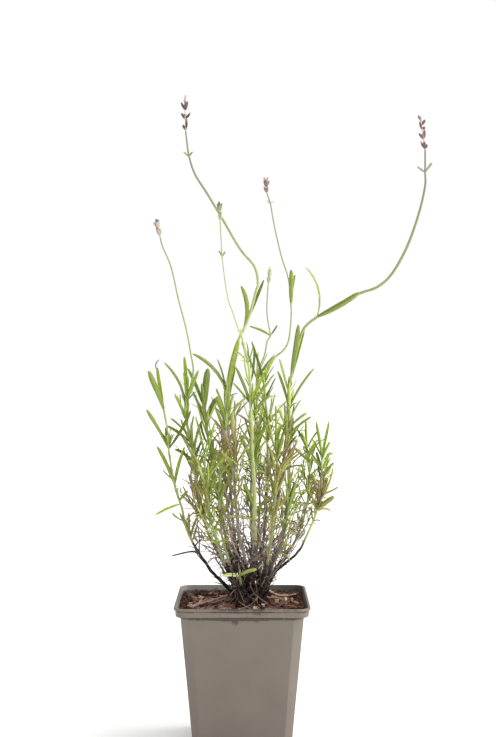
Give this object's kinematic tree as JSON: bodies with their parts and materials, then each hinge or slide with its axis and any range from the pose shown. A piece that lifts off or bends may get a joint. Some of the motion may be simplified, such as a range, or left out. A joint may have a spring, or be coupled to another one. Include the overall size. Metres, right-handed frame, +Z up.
{
  "type": "potted lavender",
  "caption": "Young lavender in a square tapered nursery pot: a woody crown in bark soil, slender leafy stems and thin stalks that carry small mauve flower heads above the foliage.",
  "frame": {"origin": "middle of the underside of the pot, on the surface that it stands on", "axes": "+Z up through the plant; +X to the right and +Y away from the side that the picture shows, both square to the pot's sides"},
  "size_m": [0.234, 0.131, 0.5431],
  "materials": {
    "pot_plastic": "taupe moulded polypropylene, satin, lightly soiled",
    "soil": "loose red-brown peat and bark chips",
    "bark": "grey-brown rough bark, dry twigs and dry leaves",
    "leaf": "matt green, finely haired",
    "calyx": "dull mauve-brown, ribbed and downy"
  },
  "bodies": {
    "root": {"pot": "pot_plastic", "soil": "soil", "woody_base": "bark", "leafy_stem_01": "leaf", "leafy_stem_02": "leaf", "leafy_stem_03": "leaf", "leafy_stem_04": "leaf", "leafy_stem_05": "leaf", "leafy_stem_06": "leaf", "leafy_stem_07": "leaf", "leafy_stem_08": "leaf", "leafy_stem_09": "leaf", "leafy_stem_10": "leaf", "leafy_stem_11": "leaf", "leafy_stem_12": "leaf", "leafy_stem_13": "leaf", "leafy_stem_14": "leaf", "leafy_stem_15": "leaf", "leafy_stem_16": "leaf", "leafy_stem_17": "leaf", "leafy_stem_18": "leaf", "leafy_stem_19": "leaf", "leafy_stem_20": "leaf", "flower_head_1": "calyx", "flower_head_2": "calyx", "flower_head_3": "calyx", "flower_head_4": "calyx", "flower_head_5": "calyx", "flower_head_6": "calyx"}
  },
  "joints": []
}
